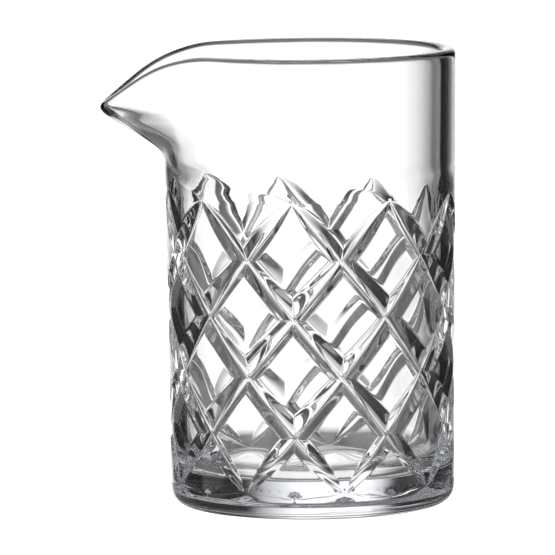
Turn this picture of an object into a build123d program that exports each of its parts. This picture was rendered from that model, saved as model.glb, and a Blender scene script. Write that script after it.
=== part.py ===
"""Mixing glass: one piece of pressed glass with a beak spout and a diamond lattice of V grooves.

Frame: the body axis is Z, the table is the plane Z = 0 and the spout points to -X.
The glass is symmetric about the XZ plane, so one half is built and mirrored.
"""
import os
from math import atan2, cos, pi, radians, sin, sqrt, tan

from build123d import *

# Body
HEIGHT = 148.0
RIM_RADIUS = 47.5
FOOT_RADIUS = 46.0
HEEL_RADIUS = 5.5
RIM_WALL = 4.6
FOOT_WALL = 5.4
FLOOR_THICKNESS = 11.5
FLOOR_CORNER_RADIUS = 9.0
RIM_ROUNDING = 1.5

# Spout in plan: a beak with straight flanks and a rounded nose, blended into the body circle
SPOUT_REACH = 20.7
NOSE_RADIUS = 7.0
FLANK_ANGLE = 38.0
FLANK_BLEND = 3.0
FLANK_END_ANGLE = 70.0
SPOUT_WALL = 3.0

# Spout in side view: the keel rises to the nose, the rim falls to it along an arc and a line
SPOUT_START = 105.5
NOSE_HEIGHT = 128.6
KEEL_ANGLE = 33.0
KEEL_BLEND = 5.0
NOSE_BLEND = 2.0
KEEL_WALL_RISE = 3.4
RIM_FALL_START = 31.0
RIM_FALL_RADIUS = 42.0
RIM_FALL_ANGLE = 37.0

# Lattice of V grooves; one hand is a little deeper and runs on through the crossings
CELLS_AROUND = 9
LATTICE_TOP = 102.1
ROW_PITCH = 18.9
ROWS = 5
LAST_ROW_LIFT = 1.1
GROOVE_DEPTH = {1: 2.06, -1: 2.0}
GROOVE_WIDTH_DOWN = 3.2
GROOVE_WIDTH_UP = 4.4
CUTTER_CLEARANCE = 1.2

# Construction
OVERRUN = 6.0
SURFACE_TOLERANCE = 0.01

# Angles of the wall points from the spout direction, close together around the nose
NOSE_ANGLES = [0, 1.6, 3.2, 4.8, 6.6, 9, 12, 15.5, 19.5, 23.5, 27, 30, 33, 36, 39, 42, 45.5, 50, 55]
WALL_ANGLES = NOSE_ANGLES + list(range(60, 181, 5))

# Heights of the wall points, close together where the keel bends
PLAIN_LEVELS = [0, 25, 50, 75, 90, 99]
KEEL_LEVELS = [0, 1.5, 3, 4.5, 6, 7.5, 9, 11, 13, 15, 17, 18.5, 20, 21.2, 22.4, 23.6, 24.8, 26, 28, 31]
TOP_LEVELS = [HEIGHT, HEIGHT + OVERRUN]

# Sections of a groove cutter, in rows below the top node
RUN_IN_STEPS = [-0.12, 0, 0.12, 0.3, 0.5, 0.75]
MIDDLE_STEPS = [1, 1.5, 2, 2.5, 3, 3.5, 4]
GROOVE_STEPS = RUN_IN_STEPS + MIDDLE_STEPS + [ROWS - step for step in reversed(RUN_IN_STEPS)]


def wall_radius(height):
    """Outer radius of the plain wall."""
    return FOOT_RADIUS + (RIM_RADIUS - FOOT_RADIUS) * height / HEIGHT


def bore_radius(height):
    """Inner radius of the plain wall."""
    wall = FOOT_WALL + (RIM_WALL - FOOT_WALL) * height / HEIGHT
    return wall_radius(height) - wall


def smooth_max(first, second, reach):
    """The larger of two values, with the corner between them rounded over reach."""
    overlap = max(reach - abs(first - second), 0.0) / reach
    return max(first, second) + overlap * overlap * reach / 4


def beak_radius(angle, inset):
    """Polar radius of the beak alone, in plan, with its outline moved inwards by inset."""
    flank = radians(FLANK_ANGLE)
    nose = NOSE_RADIUS - inset
    nose_centre = RIM_RADIUS + SPOUT_REACH - NOSE_RADIUS
    nose_end = atan2(nose * cos(flank), nose_centre + nose * sin(flank))
    if angle < nose_end:
        return nose_centre * cos(angle) + sqrt(nose**2 - (nose_centre * sin(angle)) ** 2)
    flank_distance = nose_centre * sin(flank) + nose
    radius = flank_distance / sin(angle + flank)
    if angle + flank < pi / 2:
        return radius
    return 2 * flank_distance - radius


def bulge(angle, circle_radius, inset):
    """How far the full spout stands outside a circle, at an angle from the spout direction."""
    if angle > radians(FLANK_END_ANGLE):
        return 0.0
    return smooth_max(beak_radius(angle, inset), circle_radius, FLANK_BLEND) - circle_radius


def spout_share(height):
    """Share of the full spout that the outer keel has reached at a height."""
    reach = (height - NOSE_HEIGHT) / tan(radians(KEEL_ANGLE)) + SPOUT_REACH
    reach = smooth_max(reach, 0.0, KEEL_BLEND)
    return -smooth_max(-reach, -SPOUT_REACH, NOSE_BLEND) / SPOUT_REACH


def wall_points(height, circle, inset, rise):
    """Points of half a horizontal section of the wall; rise lifts the keel."""
    share = spout_share(height - rise)
    points = []
    for angle_deg in WALL_ANGLES:
        angle = radians(angle_deg)
        radius = circle(height) + share * bulge(angle, circle(HEIGHT), inset)
        across = radius * sin(angle) if angle_deg < 180 else 0.0
        points.append(Vector(-radius * cos(angle), across, height))
    return points


def level_edges(faces, height):
    """Edges of some faces that lie at a height."""
    edges = []
    for face in faces:
        for edge in face.edges():
            if abs(edge.center().Z - height) < SURFACE_TOLERANCE:
                edges.append(edge)
    return edges


def wall_half(levels, circle, inset, rise, corner_radius):
    """Half of the solid inside one surface of the wall, with its bottom corner rounded."""
    grid = [wall_points(level, circle, inset, rise) for level in levels]
    side = Face.make_surface_from_array_of_points(
        grid, tol=SURFACE_TOLERANCE, min_deg=3, max_deg=6
    )
    sides = [side, side.mirror(Plane.XZ)]
    bottom = Face(Wire(level_edges(sides, levels[0])))
    top = Face(Wire(level_edges(sides, levels[-1])))
    solid = Solid(Shell(sides + [bottom, top])) & KEPT_HALF
    corner = [e for e in level_edges(solid.faces(), levels[0]) if e.geom_type != GeomType.LINE]
    return fillet(corner[:1], corner_radius)


def rim_cutter():
    """Everything above the rim: level around the body, falling towards the nose."""
    fall = radians(RIM_FALL_ANGLE)
    beyond = RIM_RADIUS + 2 * SPOUT_REACH

    def arc_point(angle):
        return (
            -RIM_FALL_START - RIM_FALL_RADIUS * sin(angle),
            HEIGHT - RIM_FALL_RADIUS * (1 - cos(angle)),
        )

    arc_end = arc_point(fall)
    far_end = (-beyond, arc_end[1] - (beyond + arc_end[0]) * tan(fall))
    level = Line((beyond, HEIGHT), arc_point(0))
    arc = ThreePointArc(arc_point(0), arc_point(fall / 2), arc_end)
    above = HEIGHT + 2 * OVERRUN
    rest = Polyline(arc_end, far_end, (-beyond, above), (beyond, above), (beyond, HEIGHT))
    profile = make_face(level + arc + rest)
    return extrude(Plane.XZ * profile, 2 * RIM_RADIUS, both=True)


def is_rim_edge(edge):
    """True for the edges that the rim cutter leaves, apart from those in the symmetry plane."""
    middle = edge @ 0.5
    if edge.geom_type == GeomType.LINE or middle.Y < SURFACE_TOLERANCE:
        return False
    on_level = middle.Z > HEIGHT - SURFACE_TOLERANCE
    on_fall = middle.Z > SPOUT_START + OVERRUN and middle.X < -RIM_FALL_START
    return on_level or on_fall


def groove_cutter(start_angle, turn):
    """V cutter along one groove, from its top node to its bottom node.

    It enters and leaves the wall gradually, so that both ends of the groove run out to points.
    """
    bottom = LATTICE_TOP - ROWS * ROW_PITCH + LAST_ROW_LIFT
    full_depth = GROOVE_DEPTH[turn]
    half_cell = pi / CELLS_AROUND
    sections = []
    for step in GROOVE_STEPS:
        height = LATTICE_TOP - (LATTICE_TOP - bottom) * step / ROWS
        angle = start_angle + turn * step * half_cell
        run_in = min(step, ROWS - step, 1.0)
        depth = full_depth * sin(run_in * pi / 2)
        outward = Vector(-cos(angle), sin(angle), 0)
        around = Vector(sin(angle), cos(angle), 0) * turn
        along = around * (wall_radius(height) * half_cell) - Vector(0, 0, ROW_PITCH)
        across = along.cross(outward).normalized()
        down = across if across.Z < 0 else -across
        apex = outward * (wall_radius(height) - depth) + Vector(0, 0, height)
        mouth = apex + outward * (depth + CUTTER_CLEARANCE)
        flare = (depth + CUTTER_CLEARANCE) / full_depth
        lower = mouth + down * (GROOVE_WIDTH_DOWN * flare)
        upper = mouth - down * (GROOVE_WIDTH_UP * flare)
        sections.append(make_face(Polyline(apex, lower, upper, close=True)))
    return loft(sections)


# The half that is kept, Y > 0
BOX_SIZE = 3 * HEIGHT
KEPT_HALF = Pos(0, BOX_SIZE / 2, 0) * Box(BOX_SIZE, BOX_SIZE, BOX_SIZE)

# Wall, floor and spout
outside_levels = PLAIN_LEVELS + [SPOUT_START + level for level in KEEL_LEVELS] + TOP_LEVELS
inside_start = SPOUT_START + KEEL_WALL_RISE
inside_levels = [FLOOR_THICKNESS] + PLAIN_LEVELS[1:]
inside_levels += [inside_start + level for level in KEEL_LEVELS] + TOP_LEVELS
half = wall_half(outside_levels, wall_radius, 0.0, 0.0, HEEL_RADIUS)
half -= wall_half(
    inside_levels, bore_radius, SPOUT_WALL, KEEL_WALL_RISE, FLOOR_CORNER_RADIUS
)

# Rim
half -= rim_cutter()
half = fillet([edge for edge in half.edges() if is_rim_edge(edge)], RIM_ROUNDING)

# Lattice, cut one groove at a time
for cell in range(CELLS_AROUND):
    for turn in GROOVE_DEPTH:
        cutter = groove_cutter(2 * pi * cell / CELLS_AROUND, turn)
        if cutter.bounding_box().max.Y > CUTTER_CLEARANCE:
            half -= cutter

glass_body = half + mirror(half, about=Plane.XZ)

os.makedirs("parts", exist_ok=True)
export_step(glass_body, "parts/glass_body.step")
print("glass_body", glass_body.volume, glass_body.is_valid, len(glass_body.solids()))
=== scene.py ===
"""Mixing glass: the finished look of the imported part, with its camera and its studio.

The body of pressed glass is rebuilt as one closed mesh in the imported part's frame, fine enough
for refraction: faceted lattice, plain neck, beak spout, rounded rim, bore, floor and foot.
The named sizes of the glass are millimetres and degrees. Functions take angles in radians, counted
round from the spout.
"""
import math

import bpy
import numpy as np
from mathutils import Matrix, Vector


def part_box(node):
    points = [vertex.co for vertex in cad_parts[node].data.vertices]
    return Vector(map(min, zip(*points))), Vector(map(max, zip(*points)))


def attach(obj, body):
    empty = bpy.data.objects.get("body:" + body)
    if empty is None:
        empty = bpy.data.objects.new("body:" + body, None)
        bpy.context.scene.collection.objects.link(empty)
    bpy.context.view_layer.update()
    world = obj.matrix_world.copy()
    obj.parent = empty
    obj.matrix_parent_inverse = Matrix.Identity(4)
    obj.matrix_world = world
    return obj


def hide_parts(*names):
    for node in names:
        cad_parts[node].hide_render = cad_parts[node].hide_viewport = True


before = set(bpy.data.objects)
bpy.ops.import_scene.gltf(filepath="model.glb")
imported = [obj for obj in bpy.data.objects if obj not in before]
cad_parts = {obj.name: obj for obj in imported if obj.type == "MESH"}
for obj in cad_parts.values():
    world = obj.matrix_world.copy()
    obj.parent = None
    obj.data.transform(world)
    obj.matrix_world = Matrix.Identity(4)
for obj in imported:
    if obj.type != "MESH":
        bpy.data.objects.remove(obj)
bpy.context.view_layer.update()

# Body
HEIGHT = 148.0
RIM_RADIUS = 47.5
FOOT_RADIUS = 46.0
HEEL_RADIUS = 5.5
RIM_WALL = 4.6
FOOT_WALL = 5.4
FLOOR_THICKNESS = 11.5
FLOOR_CORNER_RADIUS = 9.0
RIM_ROUNDING = 2.1
RIM_ROUNDING_SHARE = 0.45

# Spout: its outline in plan
SPOUT_REACH = 20.7
NOSE_RADIUS = 7.0
FLANK_ANGLE = 38.0
FLANK_BLEND = 3.0
FLANK_END_ANGLE = 70.0

# Spout: the keel under it, and the rim's fall towards the nose
NOSE_HEIGHT = 128.6
KEEL_ANGLE = 33.0
KEEL_BLEND = 5.0
NOSE_BLEND = 3.0
RIM_FALL_START = 31.0
RIM_FALL_RADIUS = 42.0
RIM_FALL_ANGLE = 37.0
RIM_LOWEST = 100.0

# Spout: its thinner wall, and where the full wall takes over around and below
SPOUT_WALL = 3.4
TIP_WALL = 2.6
TIP_START = 12.0
THIN_ANGLE = 32.0
THIN_ANGLE_BLEND = 50.0
THIN_HEIGHT = 99.0
THIN_HEIGHT_BLEND = 15.0

# Lattice: cells around, rows down from the top nodes, and the facets beside each valley
CELLS = 9
LATTICE_TOP = 102.1
ROW_PITCH = 18.9
ROWS = 5
LAST_ROW_LIFT = 1.1
VALLEY_DEPTH = 2.2
PAD_CROWN = 0.3
TOP_FACET = 2.95
SIDE_FACET = 3.1
BOTTOM_FACET = 5.0
END_FACET_START = 0.4
END_FACET_MIDDLE = 2.4
END_FACET_SHAPE = 0.6
END_FACET_END = 1.3
BORE_RIPPLE = 0.2
RIPPLE_ROWS_ABOVE = 0.6
RIPPLE_ROWS_BELOW = 0.2
VALLEY_ROUNDING = 0.35
EDGE_ROUNDING = 0.3
CREASE_ROUNDING = 0.15

# Shares of a facet and of half a pad at which the mesh has lines, and the shares of a valley beside
# its nodes where those lines turn, inside the lattice and at its ends
FACET_LINES = [0, 0.04, 0.12, 0.28, 0.5, 0.72, 0.88, 0.96]
PAD_LINES = [0, 0.015, 0.045, 0.1, 0.18, 0.28, 0.39, 0.5]
EDGE_BREAK = 0.1
END_BREAK = 0.03

# Least drop from one mesh line to the next at the lattice's ends, in rows, so that none cross
LEAST_STEP = 0.0006
LEAST_REACH = 1e-4

# Mesh rings of the neck, rim, bore, floor and heel
NECK_HEIGHTS = (
    103.0, 104.5, 106.5, 109.0, 111.0, 112.5, 113.5, 114.5,
    115.5, 116.5, 117.5, 119.0, 121.0, 123.0, 124.5,
)
NECK_TOP = NECK_HEIGHTS[-1]
NECK_FAN_HEIGHT = 8.0
RIM_STEPS = 12
ROUNDING_STEPS = 7
NECK_BORE_STEP = 1.0
NECK_BORE_FOOT = 111.0
BORE_TOP = 110.4
BORE_STEP = 1.75
BORE_FOOT = 20.6
BORE_FAN_FOOT = 60.0
BORE_FAN_HEIGHT = 50.0
ARC_RINGS = 11
FLOOR_FLAT_STEP = 0.6
HEEL_HEIGHTS = (7.2, 6.0)
FOOT_FLAT_STEP = 0.5

# Mesh columns of the neck: how much closer they stand at the nose and on the flanks, and how widely
COLUMN_SAMPLES = 7201
NOSE_CROWDING = 3.5
NOSE_CROWD_WIDTH = 6.0
FLANK_CROWDING = 0.8
FLANK_CROWD_ANGLE = 34.0
FLANK_CROWD_WIDTH = 9.0

# Small steps for slopes, and how often a guess is repeated
SMALL_TURN = 1e-4
SMALL_RISE = 0.01
SLOPE_RISE = 0.5
RIM_HALVINGS = 40
CORNER_GUESSES = 20
FIRST_GUESS = 0.1

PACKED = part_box("glass_body")


def wall_radius(z):
    return FOOT_RADIUS + (RIM_RADIUS - FOOT_RADIUS) * z / HEIGHT


def bore_radius(z):
    return wall_radius(z) - (FOOT_WALL + (RIM_WALL - FOOT_WALL) * z / HEIGHT)


def ease(share):
    """A share from 0 to 1 that starts and ends gently."""
    return share * share * (3 - 2 * share)


def mix(share, first, second):
    return first * (1 - share) + second * share


def degrees_away(angle):
    """Degrees from the spout, to either side."""
    return np.abs((np.degrees(angle) + 180) % 360 - 180)


def smooth_max(first, second, reach):
    """The larger of two values, with the corner between them rounded over reach."""
    overlap = np.maximum(reach - np.abs(first - second), 0.0) / reach
    return np.maximum(first, second) + overlap * overlap * reach / 4


def beak_radius(angle):
    """Polar radius of the spout in plan: a round nose between two straight flanks."""
    flank = math.radians(FLANK_ANGLE)
    centre = RIM_RADIUS + SPOUT_REACH - NOSE_RADIUS
    nose_end = math.atan2(NOSE_RADIUS * math.cos(flank), centre + NOSE_RADIUS * math.sin(flank))
    on_nose = np.maximum(NOSE_RADIUS**2 - (centre * np.sin(angle)) ** 2, 0.0)
    round_part = centre * np.cos(angle) + np.sqrt(on_nose)
    distance = centre * math.sin(flank) + NOSE_RADIUS
    # Past square to the flank the line is turned back, so that the outline keeps coming in
    straight = distance / np.sin(np.clip(angle + flank, 0.01, 3.0))
    straight = np.where(angle + flank < math.pi / 2, straight, 2 * distance - straight)
    return np.where(angle < nose_end, round_part, straight)


def bulge(angle):
    """How far the full spout stands outside the body, by angle from the spout."""
    away = degrees_away(angle)
    out = smooth_max(beak_radius(np.radians(away)), RIM_RADIUS, FLANK_BLEND) - RIM_RADIUS
    return np.where(away > FLANK_END_ANGLE, 0.0, out)


def spout_share(z):
    """Share of the full spout at a height: a straight keel, eased at the body and at the nose."""
    reach = (z - NOSE_HEIGHT) / math.tan(math.radians(KEEL_ANGLE)) + SPOUT_REACH
    reach = smooth_max(reach, 0.0, KEEL_BLEND)
    return -smooth_max(-reach, -SPOUT_REACH, NOSE_BLEND) / SPOUT_REACH


def outer_radius(angle, z):
    return wall_radius(z) + spout_share(z) * bulge(angle)


def wall_thickness(angle, z):
    """Full wall, thinner where the glass was drawn out into the spout."""
    full = wall_radius(z) - bore_radius(z)
    turn = np.clip((degrees_away(angle) - THIN_ANGLE) / THIN_ANGLE_BLEND, 0, 1)
    around = np.cos(turn * math.pi / 2) ** 2
    upwards = ease(np.clip((z - THIN_HEIGHT) / THIN_HEIGHT_BLEND, 0, 1))
    wall = full + (SPOUT_WALL - full) * around * upwards
    beyond = outer_radius(angle, z) - wall_radius(z) - TIP_START
    tip = np.clip(beyond / (SPOUT_REACH - TIP_START), 0, 1)
    return wall + (TIP_WALL - SPOUT_WALL) * tip * tip


def on_axis(radius, angle, z):
    """Points from polar coordinates; the spout lies towards the first axis."""
    return np.stack([radius * np.cos(angle), radius * np.sin(angle), z + 0 * radius], -1)


def level(radius, angle, z):
    """A ring of points, all with one radius."""
    return on_axis(np.full_like(angle, radius), angle, z)


def outer_point(angle, z):
    return on_axis(outer_radius(angle, z), angle, z)


def inner_point(angle, z):
    """The bore keeps the wall's thickness, measured square to the outside at (angle, z)."""
    across = outer_point(angle + SMALL_TURN, z) - outer_point(angle - SMALL_TURN, z)
    upwards = outer_point(angle, z + SMALL_RISE) - outer_point(angle, z - SMALL_RISE)
    normal = np.cross(across, upwards)
    normal /= np.linalg.norm(normal, axis=-1)[:, None]
    return outer_point(angle, z) - normal * wall_thickness(angle, z)[:, None]


def bore_ripple(angle, z):
    """The bore swells a little behind each pad, as pressed glass does when it cools."""
    q = (LATTICE_TOP - z) / ROW_PITCH
    p = np.degrees(angle) * CELLS / 180
    swell = (np.sin(math.pi * (p + q) / 2) * np.sin(math.pi * (q - p) / 2)) ** 2
    from_top = np.clip(q + RIPPLE_ROWS_ABOVE, 0, 1)
    from_bottom = np.clip(ROWS + RIPPLE_ROWS_BELOW - q, 0, 1)
    return BORE_RIPPLE * swell * from_top * from_bottom


def trim_height(forward):
    """Height of the rim by distance towards the spout."""
    fall = math.radians(RIM_FALL_ANGLE)
    arc_end = RIM_FALL_START + RIM_FALL_RADIUS * math.sin(fall)
    on_arc = np.clip(forward - RIM_FALL_START, 0.0, RIM_FALL_RADIUS * math.sin(fall))
    drop = RIM_FALL_RADIUS - np.sqrt(RIM_FALL_RADIUS**2 - on_arc**2)
    return HEIGHT - drop - np.maximum(forward - arc_end, 0.0) * math.tan(fall)


def rim_height(angle, surface):
    """Where a wall meets the rim cut, by bisection."""
    low = np.full_like(angle, RIM_LOWEST)
    high = np.full_like(angle, HEIGHT + 1.0)
    for _ in range(RIM_HALVINGS):
        z = (low + high) / 2
        point = surface(angle, z)
        above = point[:, 2] > trim_height(point[:, 0])
        high = np.where(above, z, high)
        low = np.where(above, low, z)
    return (low + high) / 2


# --- lattice -------------------------------------------------------------------------------
# The surface is tiled with rhombuses whose sides are the valleys. Within a tile, u and v run from 0
# at its upper node to 1 along its two sides, and everywhere q counts rows down from the top nodes.
# Facet widths are shares of the width of a tile a third of the way up the glass.
FACET_COUNT = len(FACET_LINES)
TILE_COUNT = 2 * FACET_COUNT + 2 * (len(PAD_LINES) - 1)
HALF_CELL = math.radians(360 / (2 * CELLS)) * wall_radius(HEIGHT / 3)
TILE_WIDTH = 2 / math.hypot(1 / HALF_CELL, 1 / ROW_PITCH)


def groove_reach(q):
    """Share of the full groove depth, by rows below the top nodes."""
    from_top = 1 - (1 - np.clip(q, 0, 1)) ** 3
    from_bottom = 1 - (1 - np.clip(ROWS - q, 0, 1)) ** 2
    return np.minimum(from_top, from_bottom)


def facet_width(row, along, lower):
    """Width of the facet beside a valley, at a share of the way along it from its upper node.

    row counts the tiles downwards: 0 is the half tiles under the neck, ROWS the ones at the foot.
    """
    along = np.clip(along, 0.0, 1.0)
    upper_width = (TOP_FACET + (SIDE_FACET - TOP_FACET) * along) * groove_reach(row - 1 + along)
    lower_width = (SIDE_FACET + (BOTTOM_FACET - SIDE_FACET) * along) * groove_reach(row + along)
    neck_width = END_FACET_MIDDLE * (4 * along * (1 - along)) ** END_FACET_SHAPE
    neck_width = neck_width + END_FACET_END * along
    width = np.where(lower, np.where(row == 0, neck_width, lower_width), upper_width)
    return np.maximum(width, END_FACET_START) / TILE_WIDTH


def tile_lines(row):
    """Warp of a unit tile whose mesh lines follow the pad's edges: arrays u, v by line.

    The pad's corners lie where two facets' edges meet, which is found by repeated guesses.
    """
    top = side_upper = side_lower = bottom = FIRST_GUESS
    for _ in range(CORNER_GUESSES):
        top = float(facet_width(row, top, False))
        upper = float(facet_width(row, 1 - side_lower, False))
        side_lower = float(facet_width(row, side_upper, True))
        side_upper = upper
        bottom = float(facet_width(row, 1 - bottom, True))
    nodes = (row - 1, row, row + 1)
    above, beside, below = (END_BREAK if q <= 0 or q >= ROWS else EDGE_BREAK for q in nodes)
    corner_u = np.array([
        [0, 0, 0, 0],
        [above, top, side_upper, beside],
        [1 - beside, 1 - side_lower, 1 - bottom, 1 - below],
        [1, 1, 1, 1],
    ])
    corner_v = corner_u.T.copy()
    facet = np.array(FACET_LINES)
    pad = np.array(PAD_LINES)
    pad = np.concatenate([pad, 1 - pad[-2::-1]])
    line = np.concatenate([facet, 1 + pad, 3 - facet[::-1]])
    cell = np.minimum(line.astype(int), 2)
    share = line - cell

    def warp(corners):
        i, j = cell[:, None], cell[None, :]
        s, t = share[:, None], share[None, :]
        low = corners[i, j] * (1 - s) + corners[i + 1, j] * s
        high = corners[i, j + 1] * (1 - s) + corners[i + 1, j + 1] * s
        return low * (1 - t) + high * t

    near_upper = np.choose(cell, [share, np.clip(1 - 2 * share, 0, 1), 0 * share])[:, None]
    near_lower = np.choose(cell, [0 * share, np.clip(2 * share - 1, 0, 1), 1 - share])[:, None]

    def pull(along, lower, start, end, first, last):
        """How far the pad's edge lies off the straight line between its corners."""
        inside = np.clip(along, start, end)
        chord = first + (last - first) * (inside - start) / (end - start)
        return facet_width(row, inside, lower) - chord

    u, v = warp(corner_u), warp(corner_v)
    upper_pull = [pull(w, False, top, 1 - side_lower, top, side_upper) for w in (v, u)]
    lower_pull = [pull(w, True, side_upper, 1 - bottom, side_lower, bottom) for w in (v, u)]
    u = u + upper_pull[0] * near_upper - lower_pull[0] * near_lower
    v = v + upper_pull[1] * near_upper.T - lower_pull[1] * near_lower.T
    return u, v


def lattice_depth(u, v, q, row):
    """Depth below the smooth wall at a place in a tile."""
    reach = groove_reach(q)
    whole = (row > 0) & (row < ROWS)
    crown = np.where(whole, 1 - (1 - (2 * u - 1) ** 2) * (1 - (2 * v - 1) ** 2), 0.0) * PAD_CROWN
    full = np.where(whole, VALLEY_DEPTH, VALLEY_DEPTH + PAD_CROWN)

    def facet(distance, along, lower):
        away = distance / facet_width(row, along, lower)
        flat = math.hypot(1, VALLEY_ROUNDING) - VALLEY_ROUNDING
        return full * reach * (1 - (np.hypot(away, VALLEY_ROUNDING) - VALLEY_ROUNDING) / flat)

    def join(first, second, rounding):
        return smooth_max(first, second, rounding * np.maximum(reach, LEAST_REACH))

    depth = join(facet(u, v, False), facet(v, u, False), CREASE_ROUNDING)
    depth = join(depth, facet(1 - u, v, True), CREASE_ROUNDING)
    depth = join(depth, facet(1 - v, u, True), CREASE_ROUNDING)
    return join(depth, 0.0, EDGE_ROUNDING) + crown * reach


def lattice_height(q):
    """Height by rows below the top nodes; the last row is a little shorter than the others."""
    return LATTICE_TOP - ROW_PITCH * q + LAST_ROW_LIFT * np.maximum(q - ROWS + 1, 0.0) ** 2


def faces_of(*corners):
    """Faces from an array of vertex numbers for each corner."""
    return np.stack(corners, 1).tolist()


def lattice_grid():
    """Vertices by (row, column) of the diagonal grid, and its faces as index triples.

    Only every second place of the grid is used. i and j count tiles along the two diagonals, s and t
    count mesh lines within a tile, and p counts half cells around.
    """
    rows, columns = ROWS * TILE_COUNT + 1, 2 * CELLS * TILE_COUNT
    row, column = np.meshgrid(np.arange(rows), np.arange(columns), indexing="ij")
    used = (row + column) % 2 == 0
    a, b = (row + column) // 2, (row - column) // 2
    i, j = a // TILE_COUNT, b // TILE_COUNT
    s, t = a - i * TILE_COUNT, b - j * TILE_COUNT
    warps = np.array([tile_lines(tile_row) for tile_row in range(ROWS + 1)])
    u, v = warps[np.clip(i + j + 1, 0, ROWS), :, s, t].transpose(2, 0, 1)
    p, q = (i + u) - (j + v), (i + u) + (j + v)
    last = rows - 1
    q = np.clip(q, row * LEAST_STEP, ROWS - (last - row) * LEAST_STEP)
    q = np.where(row == 0, 0.0, np.where(row == last, float(ROWS), q))
    depth = lattice_depth(u, v, q, i + j + 1)
    angle = np.radians(p * 180 / CELLS)
    z = lattice_height(q)
    number = np.cumsum(used.ravel()).reshape(used.shape) - 1
    points = on_axis(wall_radius(z) - depth, angle, z)[used]

    r, c = np.nonzero(used[: rows - 2])
    top = number[r, c]
    right = number[r + 1, (c + 1) % columns]
    bottom = number[r + 2, c]
    left = number[r + 1, (c - 1) % columns]
    s, t = s[r, c], t[r, c]
    near_left = (s >= TILE_COUNT - FACET_COUNT) & (t < FACET_COUNT)
    near_right = (s < FACET_COUNT) & (t >= TILE_COUNT - FACET_COUNT)
    lateral = near_left | near_right
    faces = faces_of(*(corner[~lateral] for corner in (top, left, bottom)))
    faces += faces_of(*(corner[~lateral] for corner in (top, bottom, right)))
    faces += faces_of(*(corner[lateral] for corner in (top, left, right)))
    faces += faces_of(*(corner[lateral] for corner in (left, bottom, right)))
    ends = np.arange(0, columns, 2)
    following = (ends + 2) % columns
    faces += faces_of(number[0, ends], number[1, ends + 1], number[0, following])
    faces += faces_of(number[last, ends], number[last, following], number[last - 1, ends + 1])
    return points, faces, number[0, ends], number[last, ends], angle[0, ends]


# --- rings ---------------------------------------------------------------------------------
def spout_angles(count):
    """Angles of the columns around the neck, closest together at the nose."""
    sample = np.linspace(-math.pi, math.pi, COLUMN_SAMPLES)
    degrees = np.degrees(sample)
    nose = NOSE_CROWDING * np.exp(-((degrees / NOSE_CROWD_WIDTH) ** 2))
    flank = np.exp(-(((np.abs(degrees) - FLANK_CROWD_ANGLE) / FLANK_CROWD_WIDTH) ** 2))
    density = 1 + nose + FLANK_CROWDING * flank
    total = np.concatenate([[0], np.cumsum((density[1:] + density[:-1]) / 2)])
    total /= total[-1]
    return np.interp(np.arange(count) / count - 0.5, total - 0.5, sample)


def column_angles(edge):
    """Angles in the neck and in the lower bore of the columns that start at the lattice's edge."""
    count = len(edge)
    order = np.argsort(edge)
    neck = np.empty(count)
    neck[order] = spout_angles(count)
    even = np.empty(count)
    even[order] = np.arange(count) / count * 2 * math.pi - math.pi
    return neck, even


def corner_curve(start, corner, end, steps):
    """Rings of a rounded corner, without its first: each of its points follows its own corner."""
    first = corner - start
    second = end - corner
    lengths = np.linalg.norm(first, axis=-1) * np.linalg.norm(second, axis=-1)
    cosine = np.sum(first * second, -1) / lengths
    weight = np.sqrt((1 + np.clip(cosine, -1, 1)) / 2)[:, None]
    rings = []
    for k in range(1, steps + 1):
        t = k / steps
        low, middle, high = (1 - t) ** 2, 2 * t * (1 - t) * weight, t**2
        rings.append((low * start + middle * corner + high * end) / (low + middle + high))
    return rings


def rim_rings(angle):
    """Rings over the rounded rim, and the heights at which it starts outside and in the bore."""
    outer_top = rim_height(angle, outer_point)
    inner_top = rim_height(angle, inner_point)
    outer_rim = outer_point(angle, outer_top)
    inner_rim = inner_point(angle, inner_top)
    width = np.linalg.norm(inner_rim - outer_rim, axis=-1)
    arm = np.minimum(RIM_ROUNDING, RIM_ROUNDING_SHARE * width)

    def start_height(surface, top):
        step = surface(angle, top) - surface(angle, top - SLOPE_RISE)
        slope = np.linalg.norm(step, axis=-1) / SLOPE_RISE
        return top - arm / slope

    outer_start = start_height(outer_point, outer_top)
    inner_start = start_height(inner_point, inner_top)
    direction = (inner_rim - outer_rim) / width[:, None]
    flat_start = outer_rim + direction * arm[:, None]
    flat_end = inner_rim - direction * arm[:, None]
    rings = corner_curve(outer_point(angle, outer_start), outer_rim, flat_start, ROUNDING_STEPS)
    rings += [(flat_start + flat_end) / 2, flat_end]
    rings += corner_curve(flat_end, inner_rim, inner_point(angle, inner_start), ROUNDING_STEPS)
    return rings, outer_start, inner_start


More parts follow.
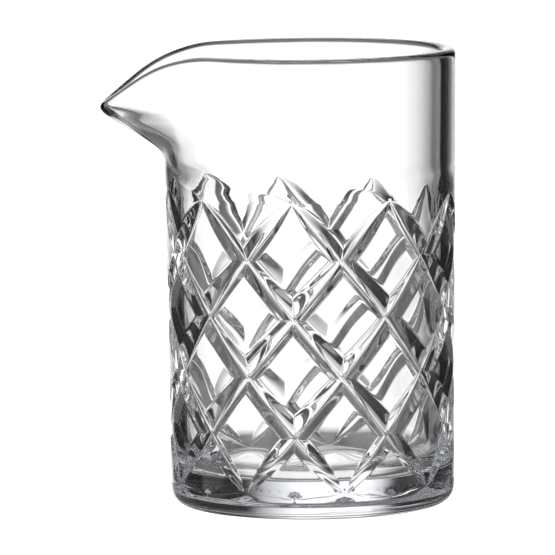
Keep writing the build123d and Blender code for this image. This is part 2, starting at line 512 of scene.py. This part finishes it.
def upper_rings(edge):
    """Rings above the lattice, over the rim, down the bore and in along the floor."""
    neck, even = column_angles(edge)
    rim, outer_start, inner_start = rim_rings(neck)
    rings = []
    for z in NECK_HEIGHTS:
        share = ease(min((z - LATTICE_TOP) / NECK_FAN_HEIGHT, 1.0))
        rings.append(outer_point(mix(share, edge, neck), z))
    for k in range(1, RIM_STEPS + 1):
        rings.append(outer_point(neck, mix(k / RIM_STEPS, NECK_TOP, outer_start)))
    rings += rim
    for k in range(1, RIM_STEPS + 1):
        rings.append(inner_point(neck, mix(k / RIM_STEPS, inner_start, NECK_TOP)))
    for z in np.arange(NECK_TOP - NECK_BORE_STEP, NECK_BORE_FOOT, -NECK_BORE_STEP):
        rings.append(inner_point(neck, z))
    for z in np.arange(BORE_TOP, BORE_FOOT, -BORE_STEP):
        angle = mix(np.clip((z - BORE_FAN_FOOT) / BORE_FAN_HEIGHT, 0, 1), even, neck)
        radius = wall_radius(z) - wall_thickness(angle, z) + bore_ripple(angle, z)
        rings.append(on_axis(radius, angle, z))
    centre = bore_radius(FLOOR_THICKNESS + FLOOR_CORNER_RADIUS) - FLOOR_CORNER_RADIUS
    for turn in np.linspace(0, math.pi / 2, ARC_RINGS):
        z = FLOOR_THICKNESS + FLOOR_CORNER_RADIUS * (1 - math.sin(turn))
        rings.append(level(centre + FLOOR_CORNER_RADIUS * math.cos(turn), even, z))
    for radius in (centre - FLOOR_FLAT_STEP, centre / 2):
        rings.append(level(radius, even, FLOOR_THICKNESS))
    return rings


def lower_rings(edge):
    """Rings below the lattice, round the heel and in along the foot."""
    rings = [level(wall_radius(z), edge, z) for z in HEEL_HEIGHTS]
    centre = wall_radius(HEEL_RADIUS) - HEEL_RADIUS
    for turn in np.linspace(0, math.pi / 2, ARC_RINGS):
        z = HEEL_RADIUS * (1 - math.sin(turn))
        rings.append(level(centre + HEEL_RADIUS * math.cos(turn), edge, z))
    for radius in (centre - FOOT_FLAT_STEP, centre / 2):
        rings.append(level(radius, edge, 0.0))
    return rings


def close_end(points, faces, edge, rings, centre_z, turned):
    """Add rings of faces from an edge of the lattice, and a fan to a last point on the axis."""
    total = sum(len(part) for part in points)

    def add_faces(*corners):
        faces.extend(faces_of(*(corners[::-1] if turned else corners)))

    for ring in rings:
        current = np.arange(total, total + len(ring))
        add_faces(edge, np.roll(edge, -1), np.roll(current, -1), current)
        points.append(ring)
        total += len(ring)
        edge = current
    points.append(np.array([[0.0, 0.0, centre_z]]))
    add_faces(edge, np.roll(edge, -1), np.full(len(edge), total))


def build_glass():
    """The closed mesh at its packed place and size, where the spout points along -x."""
    lattice, faces, top_edge, bottom_edge, edge_angle = lattice_grid()
    edge = (edge_angle + math.pi) % (2 * math.pi) - math.pi
    points = [lattice]
    close_end(points, faces, top_edge, upper_rings(edge), FLOOR_THICKNESS, False)
    close_end(points, faces, bottom_edge, lower_rings(edge), 0.0, True)
    x, y, z = np.concatenate(points).T
    low, high = PACKED
    scale = (high[2] - low[2]) / HEIGHT
    middle = (low[1] + high[1]) / 2
    xyz = np.stack([-x * scale, y * scale + middle, z * scale + low[2]], -1)
    mesh = bpy.data.meshes.new("glass_body_mesh")
    mesh.from_pydata(xyz.tolist(), [], [face[::-1] for face in faces])
    mesh.validate()
    mesh.polygons.foreach_set("use_smooth", [True] * len(mesh.polygons))
    mesh.update()
    return mesh


# --- glass ---------------------------------------------------------------------------------
GLASS_INDEX = 1.52
TINT = (0.78, 0.81, 0.88, 1)
TINT_DENSITY = 5.0
SMEAR_SCALE = 60.0
SMEAR_DETAIL = 3.0
MOST_ROUGHNESS = 0.006
WAVE_SCALE = 30.0
WAVE_DETAIL = 1.0
WAVE_STRENGTH = 0.1
WAVE_HEIGHT = 0.0002


def add_node(tree, kind, inputs=None, **settings):
    """A shader node with its settings and the values of its inputs."""
    node = tree.nodes.new("ShaderNode" + kind)
    for name, value in settings.items():
        setattr(node, name, value)
    for name, value in (inputs or {}).items():
        node.inputs[name].default_value = value
    return node


def glass_material():
    """Clear pressed glass: fire-polished, with faint mould waviness and soft wear marks."""
    material = bpy.data.materials.new("clear_pressed_glass")
    material.use_nodes = True
    tree = material.node_tree
    tree.nodes.clear()
    link = tree.links.new
    out = add_node(tree, "OutputMaterial")
    clear = {"Base Color": (1, 1, 1, 1), "Transmission Weight": 1.0, "IOR": GLASS_INDEX}
    shader = add_node(tree, "BsdfPrincipled", clear)
    place = add_node(tree, "TexCoord")
    smear = add_node(tree, "TexNoise", {"Scale": SMEAR_SCALE, "Detail": SMEAR_DETAIL})
    spread = add_node(tree, "MapRange", {"To Min": 0.0, "To Max": MOST_ROUGHNESS})
    wave = add_node(tree, "TexNoise", {"Scale": WAVE_SCALE, "Detail": WAVE_DETAIL})
    bump = add_node(tree, "Bump", {"Strength": WAVE_STRENGTH, "Distance": WAVE_HEIGHT})
    tint = add_node(tree, "VolumeAbsorption", {"Density": TINT_DENSITY, "Color": TINT})
    link(place.outputs["Object"], smear.inputs["Vector"])
    link(smear.outputs["Fac"], spread.inputs["Value"])
    link(spread.outputs["Result"], shader.inputs["Roughness"])
    link(place.outputs["Object"], wave.inputs["Vector"])
    link(wave.outputs["Fac"], bump.inputs["Height"])
    link(bump.outputs["Normal"], shader.inputs["Normal"])
    link(shader.outputs["BSDF"], out.inputs["Surface"])
    link(tint.outputs["Volume"], out.inputs["Volume"])
    return material


glass = bpy.data.objects.new("glass", build_glass())
bpy.context.scene.collection.objects.link(glass)
glass.data.materials.append(glass_material())
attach(glass, "root")
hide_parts("glass_body")

# --- studio --------------------------------------------------------------------------------
# The camera and the studio stand VIEW_TURN degrees round from the frame's own front. AROUND is the
# light by degrees round from straight behind the glass, UPWARDS is the share of it by degrees above
# the horizon, and TABLE is what comes up from the table, also by degrees above the horizon.
VIEW_TURN = -2.666
WHITE = 1.3
FLOOR_HALF = 3.0
FLOOR_GAP = 0.0002
AROUND = [
    (-180, 1.0), (-167, 1.0), (-161, 0.05), (-152, 0.05), (-146, 0.9), (-124, 0.9), (-118, 0.05),
    (-105, 0.05), (-99, 0.7), (-81, 0.7), (-76, 0.02), (-29, 0.02), (-25, 0.1), (-20, 0.8),
    (-15, 1.25), (4, 1.25), (9, 0.9), (14, 0.5), (17, 0.2), (19, 0.02), (76, 0.01), (81, 0.7),
    (99, 0.7), (105, 0.05), (118, 0.05), (124, 0.9), (146, 0.9), (152, 0.05), (161, 0.05),
    (167, 1.0), (180, 1.0),
]
UPWARDS = [
    (-90, 0.0), (-20, 0.05), (-11, 1.0), (30, 1.0), (40, 0.25), (50, 0.2), (60, 0.5), (90, 1.0),
]
TABLE = [
    (-90, 1.0), (-60, 0.9), (-50, 0.4), (-42, 0.1), (-24, 0.14), (-18, 0.14), (-13, 0.0), (90, 0.0),
]


def ramp_of(tree, value, stops, half):
    """Colour ramp over an angle in radians, from -half to half degrees, with its stops in degrees."""
    limits = {"From Min": math.radians(-half), "From Max": math.radians(half)}
    share = add_node(tree, "MapRange", limits)
    tree.links.new(value, share.inputs["Value"])
    ramp = add_node(tree, "ValToRGB")
    elements = ramp.color_ramp.elements
    elements.remove(elements[-1])
    for k, (degrees, light) in enumerate(stops):
        position = (degrees + half) / (2 * half)
        element = elements[0] if k == 0 else elements.new(position)
        element.position = position
        element.color = (light, light, light, 1)
    tree.links.new(share.outputs["Result"], ramp.inputs["Fac"])
    return ramp.outputs["Color"]


def blend(tree, blend_type, first, second):
    """Colour made from two others by MULTIPLY or ADD."""
    mixer = add_node(tree, "Mix", {"Factor": 1.0}, data_type="RGBA", blend_type=blend_type)
    tree.links.new(first, mixer.inputs["A"])
    tree.links.new(second, mixer.inputs["B"])
    return mixer.outputs["Result"]


def studio_light(tree, output):
    """White for the camera. The glass sees a white wall behind it, darkness to both sides of that
    wall, strips of light further round and behind the camera, and a dim table.
    """
    link = tree.links.new
    place = add_node(tree, "TexCoord")
    turn_back = {"Angle": math.radians(-VIEW_TURN)}
    turn = add_node(tree, "VectorRotate", turn_back, rotation_type="Z_AXIS")
    split = add_node(tree, "SeparateXYZ")
    azimuth = add_node(tree, "Math", operation="ARCTAN2")
    elevation = add_node(tree, "Math", operation="ARCSINE")
    link(place.outputs["Generated"], turn.inputs["Vector"])
    link(turn.outputs["Vector"], split.inputs["Vector"])
    link(split.outputs["X"], azimuth.inputs[0])
    link(split.outputs["Y"], azimuth.inputs[1])
    link(split.outputs["Z"], elevation.inputs[0])
    around = ramp_of(tree, azimuth.outputs["Value"], AROUND, 180)
    upwards = ramp_of(tree, elevation.outputs["Value"], UPWARDS, 90)
    table = ramp_of(tree, elevation.outputs["Value"], TABLE, 90)
    for_glass = blend(tree, "ADD", blend(tree, "MULTIPLY", around, upwards), table)
    path = add_node(tree, "LightPath")
    choice = add_node(tree, "Mix", data_type="RGBA")
    choice.inputs["B"].default_value = (WHITE, WHITE, WHITE, 1)
    link(path.outputs["Is Camera Ray"], choice.inputs["Factor"])
    link(for_glass, choice.inputs["A"])
    link(choice.outputs["Result"], output)


def white_floor():
    """The floor that the camera sees under the glass; to the glass itself it is invisible."""
    mesh = bpy.data.meshes.new("floor_mesh")
    signs = [(-1, -1), (1, -1), (1, 1), (-1, 1)]
    mesh.from_pydata([(x * FLOOR_HALF, y * FLOOR_HALF, 0) for x, y in signs], [], [(0, 1, 2, 3)])
    plane = bpy.data.objects.new("floor", mesh)
    plane.location.z = PACKED[0][2] - FLOOR_GAP
    material = bpy.data.materials.new("pale_floor")
    material.use_nodes = True
    tree = material.node_tree
    tree.nodes.clear()
    out = add_node(tree, "OutputMaterial")
    glow = add_node(tree, "Emission", {"Strength": WHITE})
    tree.links.new(glow.outputs["Emission"], out.inputs["Surface"])
    mesh.materials.append(material)
    for ray in ("transmission", "glossy", "diffuse", "shadow"):
        setattr(plane, "visible_" + ray, False)
    return plane


world = bpy.data.worlds.new("studio")
bpy.context.scene.world = world
world.use_nodes = True
studio_light(world.node_tree, world.node_tree.nodes["Background"].inputs["Color"])

floor = white_floor()
bpy.context.scene.collection.objects.link(floor)

# --- camera --------------------------------------------------------------------------------
# In metres and radians, with the lens and the sensor in millimetres
CAMERA_DISTANCE = 2.2
CAMERA_HEIGHT = 0.32299
PITCH = 0.1129549
YAW = -0.0049372
ROLL = -0.0097916
LENS = 442.39
SENSOR = 36.0
FARTHEST = 50.0
MOST_BOUNCES = 32
MOST_REFLECTIONS = 16


def camera_axes():
    """The camera's own axes, before the turn that it shares with the studio."""
    right = Vector((math.cos(YAW), -math.sin(YAW), 0))
    level_ahead = Vector((math.sin(YAW), math.cos(YAW), 0))
    ahead = level_ahead * math.cos(PITCH) - Vector((0, 0, math.sin(PITCH)))
    above = right.cross(ahead)
    rolled_right = right * math.cos(ROLL) + above * math.sin(ROLL)
    rolled_up = above * math.cos(ROLL) - right * math.sin(ROLL)
    return Matrix((rolled_right, rolled_up, -ahead)).transposed()


spin = Matrix.Rotation(math.radians(VIEW_TURN), 3, "Z")
stand = Matrix.Translation(spin @ Vector((0, -CAMERA_DISTANCE, CAMERA_HEIGHT)))
camera_data = bpy.data.cameras.new("camera")
camera_data.lens = LENS
camera_data.sensor_width = SENSOR
camera_data.clip_end = FARTHEST
camera = bpy.data.objects.new("camera", camera_data)
camera.matrix_world = stand @ (spin @ camera_axes()).to_4x4()
bpy.context.scene.collection.objects.link(camera)

scene = bpy.context.scene
scene.camera = camera
scene.view_settings.view_transform = "Standard"
scene.cycles.max_bounces = MOST_BOUNCES
scene.cycles.transmission_bounces = MOST_BOUNCES
scene.cycles.glossy_bounces = MOST_REFLECTIONS
